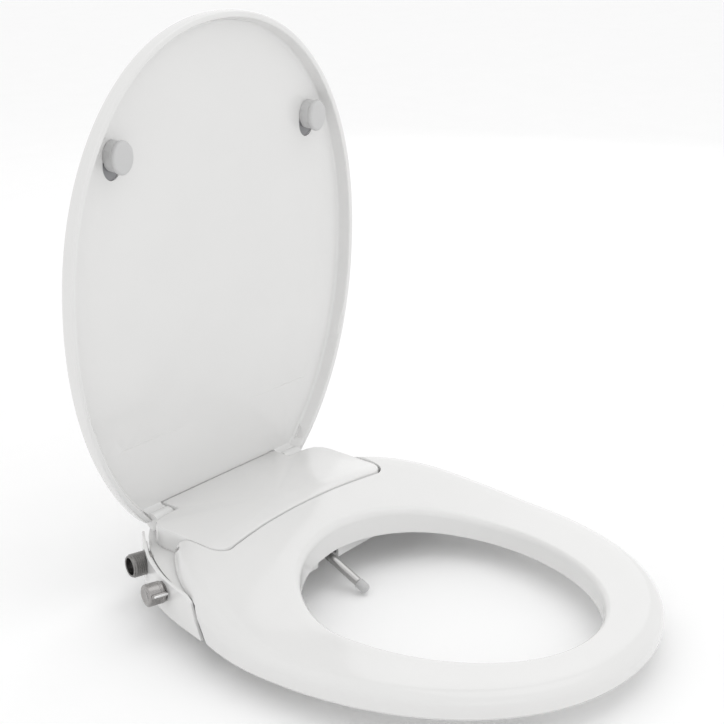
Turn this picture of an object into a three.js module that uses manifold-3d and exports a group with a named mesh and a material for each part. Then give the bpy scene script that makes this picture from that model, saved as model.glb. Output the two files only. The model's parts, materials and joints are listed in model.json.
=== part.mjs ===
// A slim water-powered bidet seat: housing, seat ring, lid, extending nozzle,
// lever valve and quick-release bracket. Millimetres, +Z up, front toward -Y,
// the user's left toward +X. The origin is midway between the two fixing bolts,
// on the top of the toilet bowl.
import * as THREE from 'three';
import { mergeVertices } from 'three/addons/utils/BufferGeometryUtils.js';
import Module from 'manifold-3d';

const wasm = await Module();
wasm.setup();

// ---------------------------------------------------------------- dimensions
const GAP = 0.3; // between pieces that touch
const SEAM = 0.9; // between the seat and the housing cover

// Plan outlines are eggs: a half width at midY, and a reach to the front and rear.
const SEAT_EGG = { half: 185, midY: -185.4, front: 230.6, rear: 202.5, frontPower: 2.12, rearPower: 1.88 };
const HOLE_EGG = { half: 117.8, midY: -220.4, front: 152.6, rear: 103.7, frontPower: 2, rearPower: 2 };
const BASE_EGG = { half: 178, midY: -188, front: 228.8, rear: 248.6, frontPower: 2.13, rearPower: 2.05 };

const SEAT_TOP = 25; // seat surface at the front
const SEAT_UNDER = 5; // underside of the seat at the front
const COVER_TOP = 52; // housing cover, and the seat where it meets the cover
const RISE_FROM_Y = -218; // the seat starts to rise toward the cover here
const RISE_TO_Y = -50;
const SEAT_SKIN = 3;
const SEAT_STEPS = 56; // sections round the ring

const BASE_BOTTOM = 3;
const LEDGE_Z = 32.8; // top of the housing base
const BASE_FRONT_Y = -108;
const BASE_REAR_Y = 26;
const BASE_INSET = 3.6; // of its side walls from the egg outline
const NOSE_Z = 22; // low front part of the base, under the seat
const WALL = 2.5;

const TONGUE_HALF = 113; // the cover between the seat's rear arms
const TONGUE_FRONT_Y = -87; // at its front corners
const TONGUE_HOLLOW = 13; // how far the middle of its front edge curves back
const TONGUE_CORNER = 14;
const COVER_REAR_HALF = 75; // narrow rear part between the lid's ears
const COVER_REAR_Y = 23;
const COVER_DROP = 1.6; // the cover's front edge is this much lower

const SEAT_AXIS = { y: -44.5, z: 42 };
const ARM_END_Y = -37;
const LID_AXIS = { y: 12, z: 43.2 };
const LID_SHUT = 90.6; // degrees that the lid turns to shut

const LID_OPEN = THREE.MathUtils.degToRad(88.24); // angle between the open lid and the bowl
const LID_FOOT = new THREE.Vector3(0, 25, 35.15); // where the lid's own axes start
const LID_EGG = { half: 178, midY: -213.15, front: 228.8, rear: 248.6, frontPower: 2.13, rearPower: 2.05 };
const LID_RIM = 12.3; // depth coordinate of the rim's edge
const LID_PLATE = 0.9; // of the inner face
const LID_BACK = -2.5; // of the outer face
const LID_STEPS = 56;
const LID_BUMPER = { x: 119.7, v: 338.7, radius: 16, stem: 13, reach: 15.2 };
const EAR = { inner: 84.5, outer: 98, radius: 8 };

const BOLT_X = 70; // half the spacing of the fixing bolts
const CONTROL_TURN = THREE.MathUtils.degToRad(17); // inlet and lever lean to the rear
const LEVER_ROOT = new THREE.Vector3(-154.5, -61, 24.4);
const INLET_ROOT = new THREE.Vector3(-129, -13, 25.2);
const INLET_RADIUS = 10.4; // G 1/2 thread
const INLET_LENGTH = 17;
const LEVER_RADIUS = 9.5;
const LEVER_LENGTH = 19;

const NOZZLE_ROOT = new THREE.Vector3(0, -107.6, 9.9);
const NOZZLE_TILT = THREE.MathUtils.degToRad(24.6);
const NOZZLE_RADIUS = 4;
const NOZZLE_REACH = 49; // from the front wall to the tip
const BARREL = { outer: 7.6, bore: 5.9, from: -75, to: -5 };

const RELEASE = { y: -40, z: 12.5, plunger: 6, rod: 3, from: 132, to: 151 };
const CATCH = { low: 80.5, high: 83.5, y: -46.6, top: 14 }; // tooth that the latch holds

const SEAT_DAMPER = { from: 64, to: 104, radius: 6.5 };
const LID_DAMPER = { from: 32, to: 70, radius: 6 };
const PIN = 3;
const COVER_SCREWS = [[-90, -66], [90, -66], [-20, 13], [20, 13]];
const PLATE = { half: 91.7, foot: 84.4, front: -24, rear: 20, low: 6.5, top: 9.5 };

// ----------------------------------------------------------------- materials
const finish = (color, roughness, metalness = 0) =>
  new THREE.MeshStandardMaterial({ color, roughness, metalness });
const WHITE = finish(0xeeeeec, 0.18);
const LIGHT_GREY = finish(0xc4c4c2, 0.5);
const RUBBER = finish(0x9a9a98, 0.8);
const GREY_PLASTIC = finish(0x8e9092, 0.55);
const BLACK_PLASTIC = finish(0x1c1c1e, 0.6);
const CHROME = finish(0xb9bbbe, 0.18, 1);
const STEEL = finish(0x9fa1a4, 0.35, 1);
const BRASS = finish(0x55534f, 0.4, 1);
const CERAMIC = finish(0xf2f0ea, 0.25);
const HOSE = finish(0x6c7176, 0.6);

// -------------------------------------------------------------- mesh helpers
const root = new THREE.Group();

/** Closed triangle mesh from points and faces, turned so that its faces point out. */
function closedGeometry(points, faces) {
  const at = (i) => points[i];
  const volume = faces.reduce((sum, [a, b, c]) => sum + at(a).dot(at(b).clone().cross(at(c))), 0);
  const index = faces.flatMap(([a, b, c]) => (volume < 0 ? [a, c, b] : [a, b, c]));
  const geometry = new THREE.BufferGeometry().setFromPoints(points);
  geometry.setIndex(index);
  return geometry;
}

function quadStrip(faces, one, other, count) {
  for (let i = 0; i < count; i += 1) {
    const next = (i + 1) % count;
    faces.push([one + i, one + next, other + next], [one + i, other + next, other + i]);
  }
}

/** Rings stacked into one solid with a fan over each end. */
function loft(rings) {
  const count = rings[0].length;
  const points = rings.flat();
  const faces = [];
  for (let r = 0; r + 1 < rings.length; r += 1) quadStrip(faces, r * count, (r + 1) * count, count);
  [[0, true], [rings.length - 1, false]].forEach(([ring, turned]) => {
    const centre = new THREE.Vector3();
    rings[ring].forEach((p) => centre.addScaledVector(p, 1 / count));
    points.push(centre);
    for (let i = 0; i < count; i += 1) {
      const pair = [ring * count + i, ring * count + ((i + 1) % count)];
      if (turned) pair.reverse();
      faces.push([points.length - 1, ...pair]);
    }
  });
  return closedGeometry(points, faces);
}

/** Sections joined round a closed loop. */
function hoop(sections) {
  const count = sections[0].length;
  const faces = [];
  sections.forEach((_, s) => quadStrip(faces, s * count, ((s + 1) % sections.length) * count, count));
  return closedGeometry(sections.flat(), faces);
}

/** Solid body from a closed surface, turned the right way out. */
function solid(geometry) {
  let bare = geometry.clone();
  bare.deleteAttribute('normal');
  bare.deleteAttribute('uv');
  bare = mergeVertices(bare, 1e-4);
  const vertProperties = new Float32Array(bare.attributes.position.array);
  const triVerts = new Uint32Array(bare.index.array);
  const body = new wasm.Manifold(new wasm.Mesh({ numProp: 3, vertProperties, triVerts }));
  if (body.volume() > 0) return body;
  return new wasm.Manifold(new wasm.Mesh({ numProp: 3, vertProperties, triVerts: triVerts.reverse() }));
}

function geometryOf(manifold) {
  const { vertProperties, triVerts } = manifold.getMesh();
  const geometry = new THREE.BufferGeometry();
  geometry.setAttribute('position', new THREE.BufferAttribute(new Float32Array(vertProperties), 3));
  geometry.setIndex(new THREE.BufferAttribute(new Uint32Array(triVerts), 1));
  return geometry;
}

function add(name, shape, material) {
  const geometry = shape.isBufferGeometry ? shape : geometryOf(shape);
  const flat = geometry.index ? geometry.toNonIndexed() : geometry;
  flat.computeVertexNormals();
  const mesh = new THREE.Mesh(flat, material);
  mesh.name = name;
  root.add(mesh);
  return mesh;
}

const joined = (...parts) => parts.reduce((sum, part) => sum.add(part));
const cut = (body, ...tools) => tools.reduce((left, tool) => left.subtract(tool), body);

/** Box between two corners. */
function box(low, high) {
  const size = high.map((h, i) => h - low[i]);
  const geometry = new THREE.BoxGeometry(...size);
  geometry.translate(...low.map((l, i) => l + size[i] / 2));
  return solid(geometry);
}

const X_AXIS = new THREE.Vector3(1, 0, 0);
const Y_AXIS = new THREE.Vector3(0, 1, 0);
const Z_AXIS = new THREE.Vector3(0, 0, 1);

/** Rod along a direction, from one distance to another past a point. */
function rod(point, direction, from, to, radius, sides = 24, endRadius = radius) {
  const geometry = new THREE.CylinderGeometry(endRadius, radius, to - from, sides);
  geometry.translate(0, (from + to) / 2, 0);
  geometry.applyQuaternion(new THREE.Quaternion().setFromUnitVectors(Y_AXIS, direction));
  geometry.translate(point.x, point.y, point.z);
  return solid(geometry);
}

const tube = (point, direction, from, to, outer, bore, sides = 24) =>
  cut(rod(point, direction, from, to, outer, sides), rod(point, direction, from - 1, to + 1, bore, sides));

/** Prism across the part, from an outline in y and z. */
function prismAcross(outline, fromX, toX) {
  const shape = new THREE.Shape(outline.map(([y, z]) => new THREE.Vector2(y, z)));
  const geometry = new THREE.ExtrudeGeometry(shape, { depth: toX - fromX, bevelEnabled: false });
  geometry.applyMatrix4(new THREE.Matrix4().makeBasis(Y_AXIS, Z_AXIS, X_AXIS));
  geometry.translate(fromX, 0, 0);
  return solid(geometry);
}

/** Upright prism, from an outline in x and y. */
function prismUp(outline, fromZ, toZ) {
  const shape = new THREE.Shape(outline.map(([x, y]) => new THREE.Vector2(x, y)));
  const geometry = new THREE.ExtrudeGeometry(shape, { depth: toZ - fromZ, bevelEnabled: false });
  geometry.translate(0, 0, fromZ);
  return solid(geometry);
}

const both = (outline) => [...outline, ...outline.map(([x, y]) => [-x, y]).reverse()];
const smooth = (t) => {
  const u = THREE.MathUtils.clamp(t, 0, 1);
  return u * u * (3 - 2 * u);
};
const mix = THREE.MathUtils.lerp;

// -------------------------------------------------------------- egg outlines
function eggPoint(egg, angle, inset = 0) {
  const c = Math.cos(angle);
  const s = Math.sin(angle);
  const power = 2 / (s < 0 ? egg.frontPower : egg.rearPower);
  const reach = (s < 0 ? egg.front : egg.rear) - inset;
  return [
    (egg.half - inset) * Math.sign(c) * Math.abs(c) ** power,
    egg.midY + reach * Math.sign(s) * Math.abs(s) ** power,
  ];
}

function eggHalf(egg, y, inset = 0) {
  const front = y < egg.midY;
  const power = front ? egg.frontPower : egg.rearPower;
  const reach = (front ? egg.front : egg.rear) - inset;
  const t = Math.min(1, Math.abs(y - egg.midY) / reach);
  return (egg.half - inset) * (1 - t ** power) ** (1 / power);
}

const turns = (count) => Array.from({ length: count }, (_, i) => (i / count) * 2 * Math.PI);

// ----------------------------------------------------------------- seat ring
const riseAt = (y) => smooth((y - RISE_FROM_Y) / (RISE_TO_Y - RISE_FROM_Y));
const seatTop = (y) => SEAT_TOP + (COVER_TOP - SEAT_TOP) * riseAt(y);

/** Underside of the ring: flat at its outer edge, and rising with the top at the hole. */
const seatUnder = (y, inward) => SEAT_UNDER + (COVER_TOP - SEAT_TOP) * riseAt(y) * smooth(inward);

/** One section of the ring, kept inside its surface by skin, and closed at the given floor. */
function seatSection(angle, skin, floor) {
  const [ox, oy] = eggPoint(SEAT_EGG, angle, skin);
  const [ix, iy] = eggPoint(HOLE_EGG, angle, -skin);
  const width = Math.hypot(ix - ox, iy - oy);
  const at = (inset, z) => {
    const w = inset / width;
    const y = mix(oy, iy, w);
    return new THREE.Vector3(mix(ox, ix, w), y, z(y, w));
  };
  const rear = smooth((oy - RISE_FROM_Y) / 100);
  const edgeWide = mix(13, 22, rear);
  const edgeHigh = mix(10, 18, rear);
  const lip = 6;
  const arc = (skin > 0 ? [0, 45, 90] : [0, 22.5, 45, 67.5, 90]).map(THREE.MathUtils.degToRad);
  const top = arc.map((a) => at(edgeWide * (1 - Math.cos(a)),
    (y) => seatTop(y) - skin - edgeHigh * (1 - Math.sin(a))));
  top.push(at(width * 0.6, (y) => seatTop(y) - skin - 0.8));
  arc.slice().reverse().forEach((a) => top.push(at(width - lip * (1 - Math.cos(a)),
    (y) => seatTop(y) - skin - 1 - lip * (1 - Math.sin(a)))));
  const under = [1, 0.66, 0.33, 0].map((w) => at(w * width, floor));
  return [...top, ...under];
}

/** Step in the ring's underside that clears the housing base, in y and z. */
const SEAT_STEP = [
  [-129, 4], [-125, 10], [-121.5, 18], [-117.5, 25], [-111, 31], [-100, 33.5],
  [60, 33.5], [60, -60], [-129, -60],
];

/** Front edge of the cover, which curves back between its corners. */
function tongueOutline(grow, rearY) {
  const half = TONGUE_HALF + grow;
  const front = TONGUE_FRONT_Y - grow;
  const edge = [];
  const corner = TONGUE_CORNER;
  for (let i = 0; i <= 6; i += 1) {
    const x = (half - corner) * (i / 6);
    edge.push([x, front + TONGUE_HOLLOW * (1 - (x / half) ** 2)]);
  }
  const [startX, startY] = edge[edge.length - 1];
  for (let i = 1; i <= 6; i += 1) {
    const a = (i / 6) * (Math.PI / 2);
    edge.push([startX + corner * Math.sin(a), startY + corner * (1 - Math.cos(a))]);
  }
  edge.push([half, rearY]);
  return both(edge.slice(1)).concat([[0, edge[0][1]]]);
}

/** Room for the cover, wider below so that the ring clears it when it lifts. */
function coverRoom(grow) {
  const ring = (z) => {
    const spread = grow + (COVER_TOP - z) * 0.2;
    return tongueOutline(grow, 80).map(([x, y]) => new THREE.Vector3(x, y < -30 ? y - spread + grow : y, z));
  };
  return solid(loft([ring(-10), ring(70)]));
}

function seatRing() {
  const angles = turns(SEAT_STEPS);
  const below = () => -30;
  const body = solid(hoop(angles.map((a) => seatSection(a, 0, seatUnder))));
  const hollow = cut(
    solid(hoop(angles.map((a) => seatSection(a, SEAT_SKIN, below)))),
    box([-200, -95, -60], [200, 60, 80]),
  );
  const { y, z } = SEAT_AXIS;
  const tail = prismAcross([
    [y, 0], [y, z - 8.5], [y + 3, z - 7.9], [y + 5.6, z - 6.2], [y + 7.1, z - 3.6], [ARM_END_Y, z],
    [ARM_END_Y, COVER_TOP - 1.5], [ARM_END_Y - 1.5, COVER_TOP + 0.2], [ARM_END_Y - 1.5, 80],
    [60, 80], [60, 0],
  ], -200, 200);
  const pinHole = rod(new THREE.Vector3(0, SEAT_AXIS.y, SEAT_AXIS.z), X_AXIS, -123, 123, 3 + GAP, 16);
  return cut(body, hollow, coverRoom(SEAM), prismAcross(SEAT_STEP, -200, 200), tail, pinHole);
}

/** Plate that closes the ring from below. */
function seatUnderside() {
  const thick = 2.5;
  const steps = [0, 0.33, 0.66, 1];
  const sections = turns(SEAT_STEPS).map((angle) => {
    const [ox, oy] = eggPoint(SEAT_EGG, angle, SEAT_SKIN + GAP);
    const [ix, iy] = eggPoint(HOLE_EGG, angle, -SEAT_SKIN - GAP);
    const at = (w, lift) => {
      const y = mix(oy, iy, w);
      return new THREE.Vector3(mix(ox, ix, w), y, seatUnder(y, w) + lift);
    };
    return [...steps.map((w) => at(w, 0)), ...steps.slice().reverse().map((w) => at(w, thick))];
  });
  return cut(solid(hoop(sections)), box([-200, -131, -10], [200, 60, 80]));
}

/** Rubber foot under the ring, at an angle round it. */
function seatBumper(angle) {
  const length = 34;
  const radius = 6;
  const middle = (a) => {
    const outer = eggPoint(SEAT_EGG, a);
    const inner = eggPoint(HOLE_EGG, a);
    return new THREE.Vector2(mix(outer[0], inner[0], 0.45), mix(outer[1], inner[1], 0.45));
  };
  const { x, y } = middle(angle);
  const turn = middle(angle + 0.02).sub(middle(angle - 0.02)).angle();
  const outline = turns(20).map((a) => {
    const u = radius * Math.cos(a) + Math.sign(Math.cos(a) + 1e-9) * (length / 2 - radius);
    const v = radius * Math.sin(a);
    return [x + u * Math.cos(turn) - v * Math.sin(turn), y + u * Math.sin(turn) + v * Math.cos(turn)];
  });
  return prismUp(outline, 0, SEAT_UNDER - GAP);
}

// ----------------------------------------------------------------------- lid
const LID_UP = new THREE.Vector3(0, -Math.cos(LID_OPEN), Math.sin(LID_OPEN));
const LID_FACE = new THREE.Vector3(0, -Math.sin(LID_OPEN), -Math.cos(LID_OPEN));
const LID_FRAME = new THREE.Matrix4().makeBasis(X_AXIS, LID_UP, LID_FACE).setPosition(LID_FOOT);

/** Point of the open lid: across, up its length, and out from its face. */
const onLid = (x, v, d) => new THREE.Vector3(x, v, d).applyMatrix4(LID_FRAME);

const lidRing = (inset, d) => turns(LID_STEPS).map((angle) => {
  const [x, y] = eggPoint(LID_EGG, angle, inset);
  return onLid(x, -y, d);
});

/** Ear on each side: a boss round the hinge axis joined to the lid's plate. */
function lidEar(side) {
  const centre = new THREE.Vector3(0, LID_AXIS.y, LID_AXIS.z);
  const [near, far] = side > 0 ? [EAR.inner, EAR.outer] : [-EAR.outer, -EAR.inner];
  const boss = rod(centre, X_AXIS, near, far, EAR.radius, 28);
  const web = prismAcross([
    [LID_AXIS.y, LID_AXIS.z], [LID_AXIS.y + 12.6, LID_AXIS.z], [LID_AXIS.y + 12.2, LID_AXIS.z + 12],
    [LID_AXIS.y + 6, LID_AXIS.z + 5.3],
  ], near, far);
  return joined(boss, web);
}

/** Room that the lid's rim needs round the seat when it is shut. */
function seatBelowLid() {
  const seat = solid(hoop(turns(SEAT_STEPS).map((a) => seatSection(a, -1, seatUnder))));
  const { y, z } = LID_AXIS;
  return seat.subtract(box([-300, -60, -60], [300, 60, 90])).translate([0, -y, -z])
    .rotate([-LID_SHUT, 0, 0]).translate([0, y, z]);
}

/** The same room round the shoulders of the housing cover. */
function coverBelowLid() {
  const { y, z } = LID_AXIS;
  return solid(loft([coverLayer(-1, () => 30), coverLayer(-1, () => COVER_TOP + 1.6)])).translate([0, -y, -z])
    .rotate([-LID_SHUT, 0, 0]).translate([0, y, z]);
}

function lidShell() {
  const outer = solid(loft([
    lidRing(5, LID_BACK), lidRing(2.4, LID_BACK + 0.9), lidRing(0.8, LID_BACK + 2.8),
    lidRing(0, LID_BACK + 5.6), lidRing(0, LID_RIM - 1.5), lidRing(1.4, LID_RIM),
  ]));
  const dish = solid(loft([
    lidRing(10.2, LID_PLATE), lidRing(8.6, LID_PLATE + 1.2),
    lidRing(6.6, LID_RIM - 1), lidRing(4.8, LID_RIM + 2),
  ]));
  const footZ = LID_AXIS.z + 1;
  const relief = (side) => solid(loft([-20, 60].map((y) => [
    [side * 70, 20], [side * 84.5, 20], [side * 84.5, 51.5], [side * 77, 59.5], [side * 70, 54],
  ].map(([x, z]) => new THREE.Vector3(x, y, z)))));
  const body = cut(
    outer, dish,
    box([-300, -50, -50], [300, 60, footZ]),
    box([-71, -50, 20], [71, 60, COVER_TOP + 1]),
    relief(1), relief(-1),
  );
  const pinHole = rod(new THREE.Vector3(0, LID_AXIS.y, LID_AXIS.z), X_AXIS, -96.5, 96.5, 3 + GAP, 16);
  return cut(joined(body, lidEar(1), lidEar(-1)), pinHole, seatBelowLid(), coverBelowLid());
}

function lidBumper(side) {
  const { x, v, radius, stem, reach } = LID_BUMPER;
  const foot = onLid(side * x, v, LID_PLATE + GAP);
  const tall = reach - GAP;
  return joined(
    rod(foot, LID_FACE, 0, tall - 5, stem, 32),
    rod(foot, LID_FACE, tall - 6, tall - 1.5, radius, 32),
    rod(foot, LID_FACE, tall - 2, tall, radius - 0.8, 32),
  );
}

// ------------------------------------------------------------------- housing
/** Height of the cover's top at a place along the part. */
const coverTop = (y) => COVER_TOP - COVER_DROP * smooth((-45 - y) / 40);

function coverOutline(inset) {
  const half = TONGUE_HALF - inset;
  const rear = COVER_REAR_HALF - inset;
  const edge = tongueOutline(-inset, -18).filter(([x]) => x > 0);
  edge.push([half - 1.5, -9 - inset * 0.5], [half - 6, -2 - inset]);
  edge.push([half - 14, 1 - inset], [half - 24, 2 - inset]);
  edge.push([rear + 2, 2.4 - inset], [rear, 4.5 - inset], [rear, COVER_REAR_Y - inset]);
  const front = TONGUE_FRONT_Y + inset + TONGUE_HOLLOW;
  return both(edge).concat([[0, front]]);
}

function coverLayer(inset, z) {
  return coverOutline(inset).map(([x, y]) => new THREE.Vector3(x, y, z(y)));
}

function housingCover() {
  const foot = LEDGE_Z + GAP;
  const outer = solid(loft([
    coverLayer(0, () => foot), coverLayer(0, (y) => coverTop(y) - 2),
    coverLayer(0.6, (y) => coverTop(y) - 0.6), coverLayer(2, (y) => coverTop(y)),
  ]));
  const inner = solid(loft([
    coverLayer(WALL, () => foot - 5), coverLayer(WALL, (y) => coverTop(y) - WALL),
  ]));
  const posts = COVER_SCREWS.map(([x, y]) => {
    const top = coverTop(y) - WALL + 0.5;
    return rod(new THREE.Vector3(x, y, 0), Z_AXIS, foot, top, 4, 12);
  });
  const bores = COVER_SCREWS.map(([x, y]) => rod(new THREE.Vector3(x, y, 0), Z_AXIS, 10, 46, 1.5 + GAP, 10));
  const pins = [
    rod(new THREE.Vector3(0, SEAT_AXIS.y, SEAT_AXIS.z), X_AXIS, -120, 120, 3.5, 20),
    rod(new THREE.Vector3(0, LID_AXIS.y, LID_AXIS.z), X_AXIS, -80, 80, 3.5, 20),
  ];
  const bed = rod(NOZZLE_ROOT, NOZZLE_OUT, BARREL.from - 6, BARREL.to, BARREL.outer + GAP, 20);
  return cut(joined(cut(outer, inner), ...posts), ...bores, ...pins, bed);
}

function baseOutline(inset) {
  const front = BASE_FRONT_Y + inset;
  const edge = [[60, front], [110, front - 1.5], [148, front - 4]];
  for (let y = -113; y <= BASE_REAR_Y - 6; y += 10.3) {
    const place = y === -113 ? y + inset : y;
    edge.push([eggHalf(BASE_EGG, place, BASE_INSET + inset), place]);
  }
  const rear = BASE_REAR_Y - inset;
  edge.push([eggHalf(BASE_EGG, rear, BASE_INSET + inset), rear]);
  return both(edge);
}

const noseCut = (drop) => [
  [-140, NOSE_Z - drop], [-99, NOSE_Z - drop], [-90.5 + drop, LEDGE_Z - drop + 0.5],
  [-90.5 + drop, 90], [-140, 90],
];

function housingBase() {
  const pocket = { half: PLATE.half + 0.6, front: PLATE.front - 0.6, top: PLATE.top + 0.5 };
  const cavity = cut(
    prismUp(baseOutline(WALL), BASE_BOTTOM + WALL, LEDGE_Z - WALL),
    prismAcross(noseCut(WALL), -200, 200),
    box([-pocket.half - WALL, pocket.front - WALL, 0], [pocket.half + WALL, 60, pocket.top + WALL]),
  );
  const opening = joined(
    box([-107, -69, LEDGE_Z - 5], [107, -4, LEDGE_Z + 1]),
    box([-70, -6, LEDGE_Z - 5], [70, 19, LEDGE_Z + 1]),
  );
  const platePocket = joined(
    box([-PLATE.foot - 0.6, pocket.front, 0], [PLATE.foot + 0.6, 60, pocket.top]),
    box([-pocket.half, pocket.front, PLATE.low - GAP], [pocket.half, 60, pocket.top]),
    box([CATCH.low - 5.2, -60, PLATE.low - GAP], [CATCH.high + 5.2, 0, pocket.top]),
    box([CATCH.low - 0.6, -60, PLATE.low], [CATCH.high + 0.6, 60, CATCH.top + 0.4]),
  );
  const shell = cut(
    prismUp(baseOutline(0), BASE_BOTTOM, LEDGE_Z), cavity, opening, prismAcross(noseCut(0), -200, 200),
  );
  const ribs = [66, 98].flatMap((x) => [x, -x]).map((x) =>
    box([x - 1.5, SEAT_AXIS.y - 7, BASE_BOTTOM + 1], [x + 1.5, SEAT_AXIS.y + 7, SEAT_AXIS.z]));
  ribs.push(...[35, 62].flatMap((x) => [x, -x]).map((x) =>
    box([x - 1.5, LID_AXIS.y - 7, 11], [x + 1.5, LID_AXIS.y + 6.5, LID_AXIS.z])));
  ribs.push(box([-11, -70, BASE_BOTTOM + 1], [11, -67, 28]), box([-11, -97, BASE_BOTTOM + 1], [11, -94, 17]));
  const columns = COVER_SCREWS.map(([x, y]) =>
    rod(new THREE.Vector3(x, y, 0), Z_AXIS, y < 0 ? BASE_BOTTOM + 1 : 11, LEDGE_Z, 4.8, 12));
  const bores = COVER_SCREWS.flatMap(([x, y]) => [
    rod(new THREE.Vector3(x, y, 0), Z_AXIS, 0, 50, 1.5 + GAP, 10),
    rod(new THREE.Vector3(x, y, 0), Z_AXIS, 0, y < 0 ? 7 : 14, 3.5, 12),
  ]);
  const beds = [
    rod(new THREE.Vector3(0, SEAT_AXIS.y, SEAT_AXIS.z), X_AXIS, -130, 130, SEAT_DAMPER.radius + GAP, 20),
    rod(new THREE.Vector3(0, LID_AXIS.y, LID_AXIS.z), X_AXIS, -76, 76, LID_DAMPER.radius + GAP, 20),
    rod(NOZZLE_ROOT, NOZZLE_OUT, BARREL.from - 6, BARREL.to + 8, BARREL.outer + GAP, 20),
  ];
  const slot = box([-14, -114, 0], [14, -101, 17.5]);
  const sideHoles = [
    rod(LEVER_ROOT, CONTROL_OUT, -14, 12, 3.5 + GAP, 20),
    rod(INLET_ROOT, CONTROL_OUT, -20, 12, 5.5 + GAP, 20),
    rod(INLET_ROOT, CONTROL_OUT, -2.8, 12, INLET_RADIUS + 0.5, 24),
    rod(releasePoint(0), X_AXIS, RELEASE.from - 6, 170, RELEASE.plunger + GAP, 24),
    rod(releasePoint(0), X_AXIS, 90, 130, RELEASE.rod + GAP, 16),
  ];
  return cut(joined(shell, ...ribs, ...columns), platePocket, ...bores, ...beds, slot, ...sideHoles);
}

/** Curved fairing along each side of the base. */
function sideFairing(side) {
  const lip = 2.6;
  const from = -116.4;
  const to = 8;
  const steps = 18;
  const sections = [];
  for (let i = 0; i <= steps; i += 1) {
    const y = mix(from, to, i / steps);
    const proud = 3 * smooth((y + 110) / 70);
    const x = side * (eggHalf(BASE_EGG, y) + proud);
    const topZ = mix(5.5, 36.2, smooth((y + 117.5) / 19)) + 6 * smooth((y + 22) / 20);
    const stepZ = Math.min(LEDGE_Z, topZ - 1);
    const lean = (eggHalf(BASE_EGG, y + 1) - eggHalf(BASE_EGG, y - 1)) / 2;
    const normal = new THREE.Vector2(side, -lean).normalize();
    const deep = Math.max(lip, (BASE_INSET - GAP + proud) * Math.abs(normal.x) - 0.2);
    const point = (depth, z) => new THREE.Vector3(x - normal.x * depth, y - normal.y * depth, z);
    sections.push([
      point(0.6, 3.5), point(0, 4.2), point(0, topZ - 0.8), point(0.8, topZ),
      point(lip, topZ), point(lip, stepZ), point(deep, stepZ - 0.3), point(deep, 3.5),
    ]);
  }
  return solid(loft(sections));
}

function controlPanel() {
  return cut(
    sideFairing(-1),
    rod(LEVER_ROOT, CONTROL_OUT, -20, 20, 8 + GAP, 28),
    rod(INLET_ROOT, CONTROL_OUT, -20, 20, INLET_RADIUS + 0.5, 32),
  );
}

// --------------------------------------------------------- water parts
const CONTROL_OUT = new THREE.Vector3(-Math.cos(CONTROL_TURN), Math.sin(CONTROL_TURN), 0);
const CONTROL_SIDE = new THREE.Vector3(Math.sin(CONTROL_TURN), Math.cos(CONTROL_TURN), 0);
const NOZZLE_OUT = new THREE.Vector3(0, -Math.cos(NOZZLE_TILT), -Math.sin(NOZZLE_TILT));
const releasePoint = (x) => new THREE.Vector3(x, RELEASE.y, RELEASE.z);
const along = (point, direction, distance) => point.clone().addScaledVector(direction, distance);

/** Turned piece from radii and distances along a direction. */
function turned(profile, point, direction, sides = 24) {
  const geometry = new THREE.LatheGeometry(profile.map(([r, z]) => new THREE.Vector2(r, z)), sides);
  geometry.applyQuaternion(new THREE.Quaternion().setFromUnitVectors(Y_AXIS, direction));
  geometry.translate(point.x, point.y, point.z);
  return solid(geometry);
}

/** Threaded spigot: ridges round a tube. */
function inletFitting() {
  const root = INLET_RADIUS - 0.8;
  const pitch = 3;
  const profile = [[4, -14], [5.5, -14], [5.5, -2.4], [root, -2.4]];
  for (let z = 1.5; z < INLET_LENGTH - 2.5; z += pitch) {
    profile.push([root, z], [INLET_RADIUS, z + pitch * 0.35], [INLET_RADIUS, z + pitch * 0.65]);
  }
  profile.push([root, INLET_LENGTH - 1], [root - 0.8, INLET_LENGTH], [7.6, INLET_LENGTH]);
  profile.push([7.6, 5], [4, 5], [4, -14]);
  return turned(profile, INLET_ROOT, CONTROL_OUT, 20);
}

/** Dome of fine mesh in the mouth of the inlet. */
function inletScreen() {
  const profile = [[0, 9.2], [4, 8.4], [7.3, 5.3], [6.2, 5.3], [3.4, 7.6], [0, 8.3]];
  return turned([...profile, [0, 9.2]], INLET_ROOT, CONTROL_OUT, 24);
}

function valveBody() {
  const geometry = new THREE.BoxGeometry(22, 18, 23);
  geometry.rotateZ(-CONTROL_TURN);
  const middle = along(LEVER_ROOT, CONTROL_OUT, -20);
  geometry.translate(middle.x, middle.y, 18.7);
  const bore = rod(LEVER_ROOT, CONTROL_OUT, -28, 10, 5 + GAP, 24);
  const portLine = new THREE.Vector3(middle.x, middle.y, 17.5);
  const inPort = rod(along(portLine, CONTROL_SIDE, 9), CONTROL_SIDE, -5, 3, 2.2, 16);
  const outPort = rod(along(portLine, CONTROL_OUT, -11), CONTROL_OUT, -3, 4, 1.8, 16);
  return cut(solid(geometry), bore, inPort, outPort);
}

/** Round lever with a thin fin along it. */
function leverHandle() {
  const start = 4.2;
  const end = LEVER_LENGTH;
  const hub = turned([
    [0, start], [LEVER_RADIUS, start], [LEVER_RADIUS, end - 1.5], [LEVER_RADIUS - 0.5, end - 0.4],
    [LEVER_RADIUS - 1.6, end], [0, end], [0, start],
  ], LEVER_ROOT, CONTROL_OUT, 40);
  const fin = new THREE.BoxGeometry(end - start - 1, LEVER_RADIUS + 8, 4);
  fin.translate(-(start + end) / 2, -(LEVER_RADIUS + 8) / 2, 0);
  fin.rotateZ(-CONTROL_TURN);
  fin.translate(LEVER_ROOT.x, LEVER_ROOT.y, LEVER_ROOT.z);
  return cut(joined(hub, solid(fin)), rod(LEVER_ROOT, CONTROL_OUT, 0, 14 + GAP, PIN + GAP, 20));
}

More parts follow.
